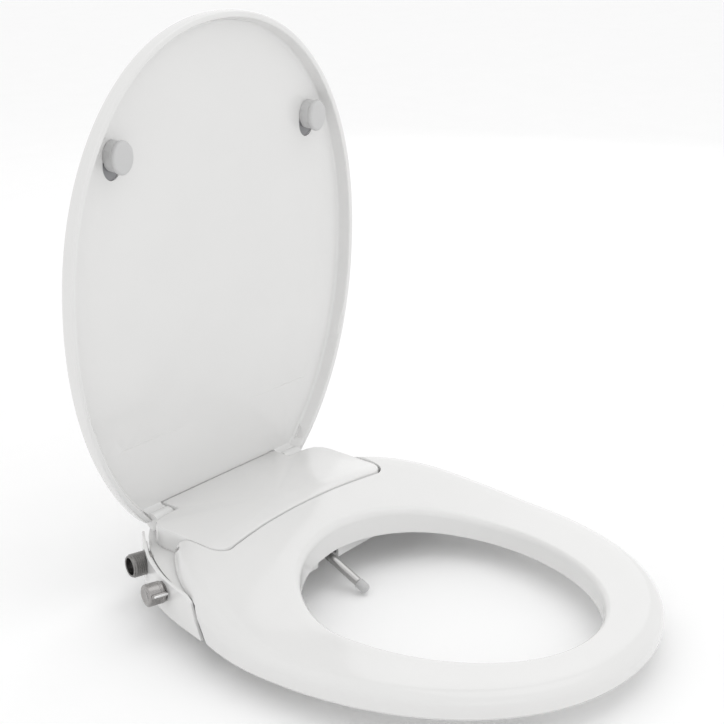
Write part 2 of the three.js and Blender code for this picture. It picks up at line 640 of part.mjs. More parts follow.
/** Flexible pipe through a row of points. */
function hose(points, radius) {
  const curve = new THREE.CatmullRomCurve3(points);
  const outline = turns(10).map((a) => new THREE.Vector2(radius * Math.cos(a), radius * Math.sin(a)));
  const options = { steps: 20, extrudePath: curve, bevelEnabled: false };
  return solid(new THREE.ExtrudeGeometry(new THREE.Shape(outline), options));
}

/** Coil spring with flat-ended turns. */
function coil(point, direction, length, radius, wire, turnCount) {
  class Helix extends THREE.Curve {
    getPoint(t, target = new THREE.Vector3()) {
      const angle = t * turnCount * 2 * Math.PI;
      return target.set(radius * Math.cos(angle), t * length, radius * Math.sin(angle));
    }
  }
  const outline = turns(5).map((a) => new THREE.Vector2(wire * Math.cos(a), wire * Math.sin(a)));
  const geometry = new THREE.ExtrudeGeometry(new THREE.Shape(outline), {
    steps: Math.round(turnCount * 9), extrudePath: new Helix(), bevelEnabled: false,
  });
  geometry.applyQuaternion(new THREE.Quaternion().setFromUnitVectors(Y_AXIS, direction));
  geometry.translate(point.x, point.y, point.z);
  return solid(geometry);
}

function mountingPlate() {
  const { half, foot, front, rear, low, top } = PLATE;
  const body = joined(
    box([-foot, front, 0], [foot, rear, top]),
    box([-half, front, low], [half, rear, top]),
    box([CATCH.low - 4.5, CATCH.y - 3.4, low], [CATCH.high + 4.5, front + 1, top]),
    box([CATCH.low, CATCH.y - 3.4, low], [CATCH.high, CATCH.y, CATCH.top]),
  );
  const slots = [1, -1].map((side) => prismUp(slotOutline(side * BOLT_X, 0, 26, 8), -5, 20));
  const pockets = [-36, 0, 36].map((x) => box([x - 13, front + 4, 4], [x + 13, rear - 4, 20]));
  return cut(body, ...slots, ...pockets);
}

/** Round-ended slot along X. */
function slotOutline(x, y, length, radius) {
  const reach = length / 2 - radius;
  return turns(24).map((a) => {
    const end = Math.cos(a) + 1e-9 > 0 ? reach : -reach;
    return [x + radius * Math.cos(a) + end, y + radius * Math.sin(a)];
  });
}

// ------------------------------------------------------------------ assembly
const axisPoint = (axis) => new THREE.Vector3(0, axis.y, axis.z);
const SIDES = [['left', 1], ['right', -1]];
const across = (side, from, to) => (side > 0 ? [from, to] : [-to, -from]);

add('housing_base', housingBase(), WHITE);
add('housing_cover', housingCover(), WHITE);
add('control_panel', controlPanel(), WHITE);
const buttonHole = rod(releasePoint(0), X_AXIS, 100, 170, RELEASE.plunger + GAP, 24);
add('side_panel', cut(sideFairing(1), buttonHole), WHITE);
add('mounting_plate', mountingPlate(), GREY_PLASTIC);

add('seat_shell', seatRing(), WHITE);
add('seat_underside', seatUnderside(), WHITE);
add('lid_shell', lidShell(), WHITE);

SIDES.forEach(([name, side]) => {
  add(`bolt_insert_${name}`, cut(
    prismUp(slotOutline(side * BOLT_X, 0, 25.4, 7.7), 0, PLATE.top),
    rod(new THREE.Vector3(side * BOLT_X, 0, 0), Z_AXIS, -1, 20, 3.3, 20),
  ), BLACK_PLASTIC);
  const seatAt = axisPoint(SEAT_AXIS);
  const lidAt = axisPoint(LID_AXIS);
  const seatSpan = across(side, SEAT_DAMPER.from, SEAT_DAMPER.to);
  add(`seat_damper_${name}`, tube(seatAt, X_AXIS, ...seatSpan, SEAT_DAMPER.radius, PIN + GAP), GREY_PLASTIC);
  add(`seat_pin_${name}`, rod(seatAt, X_AXIS, ...across(side, 74, 122.5), PIN, 20), STEEL);
  const lidSpan = across(side, LID_DAMPER.from, LID_DAMPER.to);
  add(`lid_damper_${name}`, tube(lidAt, X_AXIS, ...lidSpan, LID_DAMPER.radius, PIN + GAP), GREY_PLASTIC);
  add(`lid_pin_${name}`, rod(lidAt, X_AXIS, ...across(side, 42, 96), PIN, 20), STEEL);
  add(`lid_bumper_${name}`, lidBumper(side), RUBBER);
  const front = THREE.MathUtils.degToRad(-55);
  const rear = THREE.MathUtils.degToRad(8);
  add(`seat_bumper_front_${name}`, seatBumper(side > 0 ? front : Math.PI - front), RUBBER);
  add(`seat_bumper_rear_${name}`, seatBumper(side > 0 ? rear : Math.PI - rear), RUBBER);
  const basePlace = new THREE.Vector3(side * 140, -96, 0);
  const rearPlace = new THREE.Vector3(side * 100, 4, 0);
  add(`base_pad_${name}`, rod(basePlace, Z_AXIS, 0, BASE_BOTTOM - GAP, 8, 24), RUBBER);
  add(`rear_pad_${name}`, rod(rearPlace, Z_AXIS, 0, BASE_BOTTOM - GAP, 6, 20), RUBBER);
});

COVER_SCREWS.forEach(([x, y], i) => {
  const headTop = y < 0 ? 6.7 : 13.7;
  add(`cover_screw_${i + 1}`, joined(
    rod(new THREE.Vector3(x, y, 0), Z_AXIS, headTop - 2.2, headTop, 3.1, 16),
    rod(new THREE.Vector3(x, y, 0), Z_AXIS, headTop - 0.5, 43, 1.5, 12),
  ), STEEL);
});

add('inlet_fitting', inletFitting(), BRASS);
add('inlet_screen', inletScreen(), STEEL);
add('valve_body', valveBody(), GREY_PLASTIC);
add('valve_cartridge', tube(LEVER_ROOT, CONTROL_OUT, -27.5, -15, 5, 1.6), CERAMIC);
add('valve_stem', joined(
  rod(LEVER_ROOT, CONTROL_OUT, -14.5, -10, 4.6, 20),
  rod(LEVER_ROOT, CONTROL_OUT, -11, 14, PIN, 20),
), BRASS);
add('lever_collar', tube(LEVER_ROOT, CONTROL_OUT, -2.2, 3.9, 8, 3.5, 28), CHROME);
add('lever_handle', leverHandle(), CHROME);

const inletEnd = along(INLET_ROOT, CONTROL_OUT, -14.3);
const valveMiddle = along(LEVER_ROOT, CONTROL_OUT, -20);
const valveIn = along(new THREE.Vector3(valveMiddle.x, valveMiddle.y, 17.5), CONTROL_SIDE, 9.3);
const valveOut = along(new THREE.Vector3(valveMiddle.x, valveMiddle.y, 17.5), CONTROL_OUT, -11.3);
add('inlet_hose', hose([
  inletEnd, along(inletEnd, CONTROL_OUT, -7), new THREE.Vector3(-108, -34, 24),
  along(valveIn, CONTROL_SIDE, 8), valveIn,
], 3.2), HOSE);

const barrelEnd = along(NOZZLE_ROOT, NOZZLE_OUT, BARREL.from - 0.3);
add('nozzle_barrel', cut(
  rod(NOZZLE_ROOT, NOZZLE_OUT, BARREL.from, BARREL.to, BARREL.outer, 24),
  rod(NOZZLE_ROOT, NOZZLE_OUT, BARREL.from + 3, BARREL.to + 1, BARREL.bore, 24),
  rod(NOZZLE_ROOT, NOZZLE_OUT, BARREL.from - 1, BARREL.from + 4, 1.6, 16),
), GREY_PLASTIC);
const guideSpan = [BARREL.to - 4.6, BARREL.to - 0.3];
add('nozzle_guide',
  tube(NOZZLE_ROOT, NOZZLE_OUT, ...guideSpan, BARREL.bore - GAP, NOZZLE_RADIUS + GAP, 24), LIGHT_GREY);
add('nozzle_tube', tube(NOZZLE_ROOT, NOZZLE_OUT, -24, 38, NOZZLE_RADIUS, 2.4, 24), STEEL);
add('nozzle_seal', tube(NOZZLE_ROOT, NOZZLE_OUT, -28, -24.3, BARREL.bore - GAP, 2.4, 24), RUBBER);
add('nozzle_spring', coil(along(NOZZLE_ROOT, NOZZLE_OUT, -22.8), NOZZLE_OUT, 11.8, 4.95, 0.4, 6), STEEL);
add('nozzle_tip', cut(
  turned([[0, 38.3], [4.6, 38.3], [4.6, 46], [3.8, 48.3], [2.4, NOZZLE_REACH], [0, NOZZLE_REACH], [0, 38.3]],
    NOZZLE_ROOT, NOZZLE_OUT, 32),
  rod(along(NOZZLE_ROOT, NOZZLE_OUT, 43.5), NOZZLE_OUT.clone().cross(X_AXIS).negate(), 0.5, 10, 0.9, 12),
), LIGHT_GREY);
add('nozzle_hose', hose([
  barrelEnd, along(barrelEnd, NOZZLE_OUT, -5), new THREE.Vector3(-22, -22, 34),
  new THREE.Vector3(-60, -24, 24), new THREE.Vector3(-92, -27, 17.5), new THREE.Vector3(-112, -44, 12.5),
  along(valveOut, CONTROL_OUT, -8), valveOut,
], 2.6), HOSE);

const buttonBody = rod(releasePoint(0), X_AXIS, RELEASE.from, RELEASE.to, RELEASE.plunger, 28);
add('release_button', buttonBody, LIGHT_GREY);
add('release_latch', cut(
  joined(
    rod(releasePoint(0), X_AXIS, 92, RELEASE.from - GAP, RELEASE.rod, 20),
    box([CATCH.low - 3.5, CATCH.y + 0.4, 10], [94, RELEASE.y + 3, CATCH.top]),
  ),
  box([CATCH.high + 1.4, -60, 5], [CATCH.high + 5.6, RELEASE.y - 1, 30]),
), GREY_PLASTIC);
add('release_spring', coil(releasePoint(100.4), X_AXIS, 25.6, 4.2, 0.5, 6), STEEL);

export default root;
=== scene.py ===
import json
import math

import bmesh
import bpy
from mathutils import Matrix, Vector


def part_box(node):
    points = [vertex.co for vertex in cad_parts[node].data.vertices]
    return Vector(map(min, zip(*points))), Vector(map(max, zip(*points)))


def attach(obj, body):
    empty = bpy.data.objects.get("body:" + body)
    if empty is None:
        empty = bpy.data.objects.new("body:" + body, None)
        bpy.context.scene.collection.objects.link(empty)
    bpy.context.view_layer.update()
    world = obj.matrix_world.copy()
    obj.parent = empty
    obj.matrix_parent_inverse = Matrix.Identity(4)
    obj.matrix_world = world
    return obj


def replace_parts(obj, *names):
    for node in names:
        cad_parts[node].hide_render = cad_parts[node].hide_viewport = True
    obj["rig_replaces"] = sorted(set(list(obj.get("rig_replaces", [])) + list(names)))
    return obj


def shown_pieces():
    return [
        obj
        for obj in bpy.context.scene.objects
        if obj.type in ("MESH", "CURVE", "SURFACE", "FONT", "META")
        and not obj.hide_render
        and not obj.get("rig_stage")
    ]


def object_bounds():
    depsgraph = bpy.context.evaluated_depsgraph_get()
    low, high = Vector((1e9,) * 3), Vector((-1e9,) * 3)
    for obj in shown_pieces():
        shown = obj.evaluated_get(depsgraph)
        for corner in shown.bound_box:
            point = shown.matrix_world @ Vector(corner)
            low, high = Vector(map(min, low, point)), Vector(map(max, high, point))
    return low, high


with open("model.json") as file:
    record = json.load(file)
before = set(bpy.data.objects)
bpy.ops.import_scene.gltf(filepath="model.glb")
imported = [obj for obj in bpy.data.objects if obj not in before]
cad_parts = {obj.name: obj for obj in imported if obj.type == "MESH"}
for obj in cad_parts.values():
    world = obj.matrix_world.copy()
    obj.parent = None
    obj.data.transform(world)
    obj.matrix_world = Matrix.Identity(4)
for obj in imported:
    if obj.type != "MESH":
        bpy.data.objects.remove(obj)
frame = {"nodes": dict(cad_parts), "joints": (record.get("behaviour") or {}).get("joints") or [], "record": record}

bl_info = {
    "name": "Water-powered bidet seat",
    "version": (1, 0, 0),
    "blender": (4, 5, 0),
    "location": "View3D > Sidebar > Bidet Seat",
    "description": "Builds the finished pieces of a slim bidet seat round its packed frame",
    "category": "Object",
}

CAD_LOW, CAD_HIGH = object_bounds()
MM = 0.001
FULL_TURN = 2 * math.pi
X_AXIS = Vector((1, 0, 0))
Z_AXIS = Vector((0, 0, 1))
SIDES = (("left", 1), ("right", -1))

JOINTS = {joint["name"]: joint for joint in frame["joints"]}
SEAT_AXIS = Vector(JOINTS["seat_hinge"]["pos_m"]) / MM
LID_AXIS = Vector(JOINTS["lid_hinge"]["pos_m"]) / MM
LID_SHUT = math.radians(JOINTS["lid_hinge"]["range_deg"][1])
LEVER_ROOT = Vector(JOINTS["lever_turn"]["pos_m"]) / MM
CONTROL_OUT = Vector(JOINTS["lever_turn"]["axis"]).normalized()
NOZZLE_OUT = -Vector(JOINTS["nozzle_slide"]["axis"]).normalized()

# Millimetres from here on. An egg is an outline with its own reach to the front and to the rear.
SEAT_EGG = {"half": 185.0, "mid": -185.4, "front": 230.6, "rear": 202.5, "powers": (2.12, 1.88)}
HOLE_EGG = {"half": 117.8, "mid": -220.4, "front": 152.6, "rear": 103.7, "powers": (2.0, 2.0)}
LID_EGG = {"half": 178.0, "mid": -213.15, "front": 228.8, "rear": 248.6, "powers": (2.13, 2.05)}
SEAT_TOP = 25.0  # at the front; the ring rises to the cover's height at the rear
SEAT_UNDER = 5.0
COVER_TOP = 52.0
RISE = (-218.0, -50.0)  # the ring rises between these places in y
UNDER_RISE = 19.0  # of the ring's inner lip, above the nozzle
SEAT_SKIN = 3.0
# What is cut away below the arms, in y and z: its edge follows the front of the side panels.
SEAT_STEP = ((-129, 4), (-125, 9), (-120.6, 14), (-116, 18.5), (-112, 22.5), (-109.4, 27), (-107.2, 31.5),
             (-100, 33.5), (60, 33.5), (60, -60), (-129, -60))
SEAM = 0.9  # between the seat and the housing's cover
ARM_END = -37.0
PIN_HOLE = 3.3
# The front part of the cover, between the seat's arms, and half the width of its rear part.
TONGUE = {"half": 113.0, "front": -87.0, "hollow": 13.0, "corner": 14.0}
COVER_REAR = 75
LID_OPEN = math.radians(88.24)
LID_FOOT = Vector((0, 25, 35.15))
LID_RIM, LID_PLATE, LID_BACK = 12.3, 0.9, -2.5  # depths of the rim, the inner and the outer face
EAR = (76.3, 98.0, 8.0)  # start, end and radius of a hinge ear
FOOT_ROOM = (75.6, 14.5)  # half the length and the radius of the lid's hollow round the hinge
LID_STOP = Vector((119.7, 338.7, 0))
STOP_OVAL = (0.68, 0.88)  # share of the round stop's width and height
STOP_HOLLOW = (8.0, 14.5, 2.2)  # how far below the stop its hollow is, and the hollow's radius and depth; the dark disc on the hollow's floor is painted shade
INLET_ROOT = Vector((-129, -13, 25.2))
LEVER_HUB = (9.5, 4.2, 19.0)  # radius, start and end
LEVER_TILT = math.radians(-16)
# Name, bottom and top above the hub, half width, distance from the hub's end, rounding, finish. The second is a
# thin strip along the bar's top edge whose brighter, glossier metal is a painted highlight.
LEVER_BARS = (("lever_bar", -0.5, 3.4, 2.1, 1.2, 1.6, "chrome"),
              ("lever_bar_painted_highlight", 3.0, 3.7, 0.9, 2.4, 0.3, "polished"))
NOZZLE_ROOT = Vector((0, -107.6, 9.9))

ROUND = 192  # points round the ring and the lid
WELD = 1e-4  # points closer than this become one


# ---------------------------------------------------------------- properties
class BidetSizes(bpy.types.PropertyGroup):
    edge_radius: bpy.props.FloatProperty(
        name="Edge rounding", description="Rounding of the moulded edges", default=0.0006, unit="LENGTH")
    seat_fillet: bpy.props.FloatProperty(
        name="Seat edge", description="Width of the rounded outer edge at the front of the seat",
        default=0.013, unit="LENGTH")
    lid_corner: bpy.props.FloatProperty(
        name="Lid corner", description="Rounding of the lid's outer edge", default=0.0055, unit="LENGTH")
    thread_pitch: bpy.props.FloatProperty(
        name="Thread pitch", description="Distance between the ridges of the inlet",
        default=0.0018, unit="LENGTH")
    camera_distance: bpy.props.FloatProperty(
        name="Camera distance", description="From the camera to the point that it looks at",
        default=1.2727, unit="LENGTH")


class BidetFinishes(bpy.types.PropertyGroup):
    shell: bpy.props.FloatVectorProperty(
        name="Shell", description="Colour of the glossy mouldings", subtype="COLOR", size=3,
        default=(0.74, 0.738, 0.732))
    bumper: bpy.props.FloatVectorProperty(
        name="Bumper", description="Colour of the rubber stops", subtype="COLOR", size=3,
        default=(0.56, 0.56, 0.56))
    bright_metal: bpy.props.FloatVectorProperty(
        name="Bright metal", description="Colour of the lever", subtype="COLOR", size=3,
        default=(0.36, 0.35, 0.345))
    dark_metal: bpy.props.FloatVectorProperty(
        name="Dark metal", description="Colour of the inlet", subtype="COLOR", size=3,
        default=(0.24, 0.235, 0.23))
    floor: bpy.props.FloatVectorProperty(
        name="Floor", description="Colour of the floor", subtype="COLOR", size=3,
        default=(0.95, 0.95, 0.95))


def sizes():
    return bpy.context.scene.bidet_sizes


def finishes():
    return bpy.context.scene.bidet_finishes


# ----------------------------------------------------------------- materials
def shader_nodes(name):
    """A new material, with its node tree and its shader."""
    material = bpy.data.materials.new(name)
    material.use_nodes = True
    tree = material.node_tree
    return material, tree, tree.nodes["Principled BSDF"]


def noise(tree, scale, detail=3.0, stretch=(1, 1, 1)):
    """A soft pattern fixed to the piece."""
    place = tree.nodes.new("ShaderNodeTexCoord")
    mapping = tree.nodes.new("ShaderNodeMapping")
    mapping.inputs["Scale"].default_value = stretch
    pattern = tree.nodes.new("ShaderNodeTexNoise")
    pattern.inputs["Scale"].default_value = scale
    pattern.inputs["Detail"].default_value = detail
    tree.links.new(place.outputs["Object"], mapping.inputs["Vector"])
    tree.links.new(mapping.outputs["Vector"], pattern.inputs["Vector"])
    return pattern.outputs["Fac"]


def ramp(tree, value, low, high, start=0.35, end=0.65):
    """Colours or greys from low to high as a pattern goes from start to end."""
    node = tree.nodes.new("ShaderNodeValToRGB")
    for element, place, colour in zip(node.color_ramp.elements, (start, end), (low, high)):
        element.position = place
        element.color = (*colour, 1) if hasattr(colour, "__len__") else (colour, colour, colour, 1)
    tree.links.new(value, node.inputs["Fac"])
    return node.outputs["Color"]


def bump(tree, bsdf, value, strength, distance):
    node = tree.nodes.new("ShaderNodeBump")
    node.inputs["Strength"].default_value = strength
    node.inputs["Distance"].default_value = distance
    tree.links.new(value, node.inputs["Height"])
    tree.links.new(node.outputs["Normal"], bsdf.inputs["Normal"])


def scaled(colour, factor):
    return tuple(min(1.0, c * factor) for c in colour)


def surface(name, colour, roughness, spread=0.015, grain=900.0, relief=0.02, metallic=0.0, coat=0.0,
            stretch=(1, 1, 1)):
    """A finish whose colour, gloss and fine relief vary a little over the surface."""
    broad = 14.0
    material, tree, bsdf = shader_nodes(name)
    tint = ramp(tree, noise(tree, broad), scaled(colour, 1 - spread), scaled(colour, 1 + spread))
    tree.links.new(tint, bsdf.inputs["Base Color"])
    fine = noise(tree, grain, 4.0, stretch)
    tree.links.new(ramp(tree, fine, roughness * 0.85, roughness * 1.15), bsdf.inputs["Roughness"])
    bump(tree, bsdf, fine, relief, 0.0001)
    bsdf.inputs["Metallic"].default_value = metallic
    bsdf.inputs["Coat Weight"].default_value = coat
    bsdf.inputs["Coat Roughness"].default_value = 0.06
    return material


def make_materials():
    look = finishes()
    shell = tuple(look.shell)
    return {
        "white_gloss": surface("Glossy white moulding", shell, 0.22, 0.006, 90.0, 0.012, coat=0.4),
        "light_grey": surface("Light grey moulding", (0.5, 0.5, 0.5), 0.4, grain=1200.0, relief=0.05),
        "grey_rubber": surface("Pale rubber", tuple(look.bumper), 0.5, grain=1800.0, relief=0.12),
        "grey_plastic": surface("Grey moulding", (0.28, 0.28, 0.29), 0.5, grain=1500.0, relief=0.1),
        "black_plastic": surface("Black moulding", (0.02, 0.02, 0.021), 0.5, grain=1500.0, relief=0.1),
        "chrome": surface("Satin chrome", tuple(look.bright_metal), 0.24, metallic=1.0, relief=0.03,
                          grain=500.0, stretch=(1, 1, 9)),
        # Brighter, glossier metal for the thin strip along the lever bar's top: a painted highlight on the same
        # metal, not a different finish.
        "polished": surface("Painted highlight edge", (0.86, 0.86, 0.86), 0.12, metallic=1.0, relief=0.01),
        "steel": surface("Brushed steel", (0.52, 0.515, 0.51), 0.32, metallic=1.0, relief=0.04,
                         grain=700.0, stretch=(8, 1, 1)),
        "dark_brass": surface("Dark plated brass", tuple(look.dark_metal), 0.34, metallic=1.0, relief=0.05,
                              grain=600.0),
        "ceramic": surface("Glazed ceramic", (0.82, 0.8, 0.76), 0.2, grain=300.0),
        "hose": surface("Hose", (0.14, 0.15, 0.16), 0.5, grain=1100.0, relief=0.15),
    }


MATERIALS = {}
SLOT_OF = {part["node"]: part["material_slot"] for part in frame["record"]["subparts"]}


# ------------------------------------------------------------- mesh building
def finished(name, bm, body, slot, nodes=(), smooth_angle=32.0, finish=None):
    """Makes a finished piece from a bmesh in millimetres, and places it in the frame."""
    bmesh.ops.scale(bm, vec=(MM, MM, MM), verts=bm.verts)
    mesh = bpy.data.meshes.new(name)
    bm.to_mesh(mesh)
    bm.free()
    piece = bpy.data.objects.new(name, mesh)
    bpy.context.scene.collection.objects.link(piece)
    shade(piece, smooth_angle)
    dress(piece, body, nodes, finish or slot)
    return piece


def shade(piece, angle):
    """Smooth shading that keeps the edges sharper than the angle."""
    bm = bmesh.new()
    bm.from_mesh(piece.data)
    for face in bm.faces:
        face.smooth = True
    limit = math.radians(angle)
    for edge in bm.edges:
        edge.smooth = len(edge.link_faces) == 2 and edge.calc_face_angle(0.0) < limit
    bm.to_mesh(piece.data)
    bm.free()


def dress(piece, body, nodes, finish):
    """Gives a piece its finish, its body, and the nodes that it stands for."""
    piece.data.materials.append(MATERIALS[finish])
    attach(piece, body)
    if nodes:
        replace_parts(piece, *nodes)


def round_edges(piece, width, angle=38.0, segments=2):
    rounding = piece.modifiers.new("Rounded edges", "BEVEL")
    rounding.width = width
    rounding.segments = segments
    rounding.limit_method = "ANGLE"
    rounding.angle_limit = math.radians(angle)
    rounding.harden_normals = True
    rounding.use_clamp_overlap = True


def copy_of_node(node):
    """A tidy copy of a CAD node's mesh, in millimetres."""
    bm = bmesh.new()
    bm.from_mesh(frame["nodes"][node].data)
    bmesh.ops.remove_doubles(bm, verts=bm.verts, dist=2e-6)
    bmesh.ops.dissolve_limit(bm, angle_limit=math.radians(0.4), verts=bm.verts, edges=bm.edges)
    bmesh.ops.scale(bm, vec=(1 / MM, 1 / MM, 1 / MM), verts=bm.verts)
    return bm


def body_of_node(node):
    return next(b for b, nodes in frame["record"]["behaviour"]["bodies"].items() if node in nodes)


def refine(name, node, rounding=0.0, smooth_angle=32.0):
    """The node's own shape with its edges rounded and its curves smooth."""
    piece = finished(name, copy_of_node(node), body_of_node(node), SLOT_OF[node], [node], smooth_angle)
    if rounding:
        round_edges(piece, rounding)
    return piece


def in_order(bm):
    """Sorts the vertices, edges and faces by place, so that their order is the same in each run."""
    for number, vertex in enumerate(sorted(bm.verts, key=lambda v: [round(c, 4) for c in v.co])):
        vertex.index = number
    for parts in (bm.edges, bm.faces):
        for number, part in enumerate(sorted(parts, key=lambda p: sorted(v.index for v in p.verts))):
            part.index = number
    for parts in (bm.verts, bm.edges, bm.faces):
        parts.sort()


def next_loop(bm, loop, points):
    """Extrudes a closed loop of vertices and sets the new ones on the points, in the same order."""
    ring = [edge for edge in bm.edges if all(vertex in loop for vertex in edge.verts)]
    made = bmesh.ops.extrude_edge_only(bm, edges=ring)["geom"]
    grown = {}
    for vertex in (v for v in made if isinstance(v, bmesh.types.BMVert)):
        parent = next(e.other_vert(vertex) for e in vertex.link_edges if e.other_vert(vertex) in loop)
        grown[parent] = vertex
    for vertex, place in zip(loop, points):
        grown[vertex].co = place
    return {grown[vertex]: None for vertex in loop}


def loft(rings, capped=True):
    """A skin over a row of loops with as many points each, closed at both ends or into a hoop."""
    bm = bmesh.new()
    start = bmesh.ops.create_circle(bm, cap_ends=False, radius=1, segments=len(rings[0]))["verts"]
    for vertex, place in zip(start, rings[0]):
        vertex.co = place
    ends = [bm.edges[:]]
    loop = dict.fromkeys(start)
    for ring in rings[1:] if capped else [*rings[1:], rings[0]]:
        loop = next_loop(bm, loop, ring)
    if capped:
        ends.append([edge for edge in bm.edges if all(v in loop for v in edge.verts)])
        for edges in ends:
            cap = bmesh.ops.contextual_create(bm, geom=edges)["faces"]
            if len(loop) >= ROUND:
                bmesh.ops.poke(bm, faces=cap)
            else:
                bmesh.ops.triangulate(bm, faces=cap, ngon_method="EAR_CLIP")
    else:
        bmesh.ops.remove_doubles(bm, verts=bm.verts, dist=WELD)
    bmesh.ops.recalc_face_normals(bm, faces=bm.faces)
    in_order(bm)
    return bm


def towards(direction):
    """Turns +Z to a direction."""
    return Z_AXIS.rotation_difference(direction).to_matrix().to_4x4()


def turned(profile, root, direction, steps=96):
    """Spins a profile of radii and distances into a solid of revolution."""
    bm = bmesh.new()
    verts = [bm.verts.new((r, 0, d)) for r, d in profile]
    edges = [bm.edges.new(pair) for pair in zip(verts, verts[1:])]
    bmesh.ops.spin(bm, geom=verts + edges, cent=(0, 0, 0), axis=Z_AXIS, angle=FULL_TURN, steps=steps,
                   use_merge=True)
    bmesh.ops.remove_doubles(bm, verts=bm.verts, dist=WELD)
    bmesh.ops.recalc_face_normals(bm, faces=bm.faces)
    in_order(bm)
    bmesh.ops.transform(bm, matrix=Matrix.Translation(root) @ towards(direction), verts=bm.verts)
    return bm


def rod(root, direction, radius, start, end, steps=96):
    """A plain cylinder along a direction."""
    return turned([(0, start), (radius, start), (radius, end), (0, end)], root, direction, steps)


def block(low, high):
    bm = bmesh.new()
    size = [h - l for l, h in zip(low, high)]
    middle = [(h + l) / 2 for l, h in zip(low, high)]
    bmesh.ops.create_cube(bm, size=1)
    bmesh.ops.scale(bm, vec=size, verts=bm.verts)
    bmesh.ops.translate(bm, vec=middle, verts=bm.verts)
    return bm


def across(outline, reach=200):
    """A prism along X from an outline in y and z."""
    return loft([[Vector((x, y, z)) for y, z in outline] for x in (-reach, reach)])


def as_object(bm, name):
    mesh = bpy.data.meshes.new(name)
    bm.to_mesh(mesh)
    bm.free()
    thing = bpy.data.objects.new(name, mesh)
    bpy.context.scene.collection.objects.link(thing)
    return thing


def combined(bm, steps):
    """The solid left after a row of cuts and joins, as a new bmesh."""
    sliver = 10 * WELD
    flat = math.radians(0.05)
    base = as_object(bm, "work")
    tools = []
    for number, (operation, tool) in enumerate(steps):
        thing = as_object(tool, f"tool_{number}")
        tools.append(thing)
        change = base.modifiers.new(f"step_{number}", "BOOLEAN")
        change.operation = operation
        change.solver = "MANIFOLD"
        change.object = thing
    bpy.context.view_layer.update()
    graph = bpy.context.evaluated_depsgraph_get()
    mesh = bpy.data.meshes.new_from_object(base.evaluated_get(graph))
    result = bmesh.new()
    result.from_mesh(mesh)
    bmesh.ops.remove_doubles(result, verts=result.verts, dist=sliver)
    bmesh.ops.dissolve_degenerate(result, edges=result.edges, dist=sliver)
    bmesh.ops.dissolve_limit(result, angle_limit=flat, verts=result.verts, edges=result.edges)
    in_order(result)
    for thing in (base, *tools):
        bpy.data.meshes.remove(thing.data)
    bpy.data.meshes.remove(mesh)
    return result


def cut(tool):
    return "DIFFERENCE", tool


def join(tool):
    return "UNION", tool


# ------------------------------------------------------------------- outlines
def smooth(t):
    """An even rise from 0 to 1 that starts and ends level."""
    u = max(0.0, min(1.0, t))
    return u * u * (3 - 2 * u)


def mix(a, b, t):
    return a + (b - a) * t


def egg_point(egg, angle, inset=0.0):
    """The place on an egg's outline at an angle."""
    c, s = math.cos(angle), math.sin(angle)
    front = s < 0
    power = 2 / egg["powers"][0 if front else 1]
    reach = egg["front" if front else "rear"] - inset
    x = (egg["half"] - inset) * math.copysign(abs(c) ** power, c)
    return Vector((x, egg["mid"] + reach * math.copysign(abs(s) ** power, s), 0))


def turns(count):
    return [i / count * FULL_TURN for i in range(count)]


def quarter_turn(steps):
    return [i / steps * math.pi / 2 for i in range(steps + 1)]


def rise_at(y):
    return smooth((y - RISE[0]) / (RISE[1] - RISE[0]))


def seat_top(y):
    return mix(SEAT_TOP, COVER_TOP, rise_at(y))


# ------------------------------------------------------------------ the seat
def seat_section(angle, skin=0.0, floor=None):
    """Points round one section of the ring, from the outer edge over the top and back below."""
    outer = egg_point(SEAT_EGG, angle, skin)
    inner = egg_point(HOLE_EGG, angle, -skin)
    width = (inner - outer).length
    rear = smooth((outer.y - RISE[0]) / 100)
    edge_wide = mix(sizes().seat_fillet / MM, 22, rear)
    edge_high = mix(10, 18, rear)
    lip = 6.0
    crown = 5

    def at(inset, height):
        place = outer.lerp(inner, inset / width)
        place.z = height(place.y, inset / width)
        return place

    points = []
    quarter = [math.radians(a) for a in range(0, 91, 10)]
    for a in quarter:
        points.append(at(edge_wide * (1 - math.cos(a)),
                         lambda y, w: seat_top(y) - skin - edge_high * (1 - math.sin(a))))
    start = edge_wide / width
    for step in range(1, crown):
        w = mix(start, 1 - lip / width, step / crown)
        points.append(at(w * width, lambda y, _: seat_top(y) - skin - smooth(step / crown)))
    for a in reversed(quarter):
        points.append(at(width - lip * (1 - math.cos(a)),
                         lambda y, w: seat_top(y) - skin - 1 - lip * (1 - math.sin(a))))
    for w in (1, 0.8, 0.6, 0.4, 0.2, 0.0):
        points.append(at(w * width, floor or seat_under))
    if not skin:
        points[-1] = at(1.5, seat_under)
        points.append(at(0.0, lambda y, w: seat_under(y, w) + 2))
    return points


def seat_under(y, inward):
    """Height of the ring's lower edge, from the outside inward."""
    return SEAT_UNDER + UNDER_RISE * rise_at(y) * smooth(inward)


def hoop(skin=0.0, floor=None, count=ROUND):
    """The ring, skinned along its length."""
    sections = [seat_section(angle, skin, floor) for angle in turns(count)]
    return loft([list(line) for line in zip(*sections)], capped=False)


def tongue_outline(grow, rear, fine=10):
    """The front part of the cover seen from above, made larger all round."""
    half = TONGUE["half"] + grow
    front = TONGUE["front"] - grow
    corner = TONGUE["corner"]
    edge = []
    for i in range(1, fine + 1):
        x = (half - corner) * i / fine
        edge.append((x, front + TONGUE["hollow"] * (1 - (x / half) ** 2)))
    start_x, start_y = edge[-1]
    for a in quarter_turn(fine)[1:]:
        edge.append((start_x + corner * math.sin(a), start_y + corner * (1 - math.cos(a))))
    edge.append((half, rear))
    mirrored = [(-x, y) for x, y in reversed(edge)]
    return edge + mirrored + [(0, front + TONGUE["hollow"])]


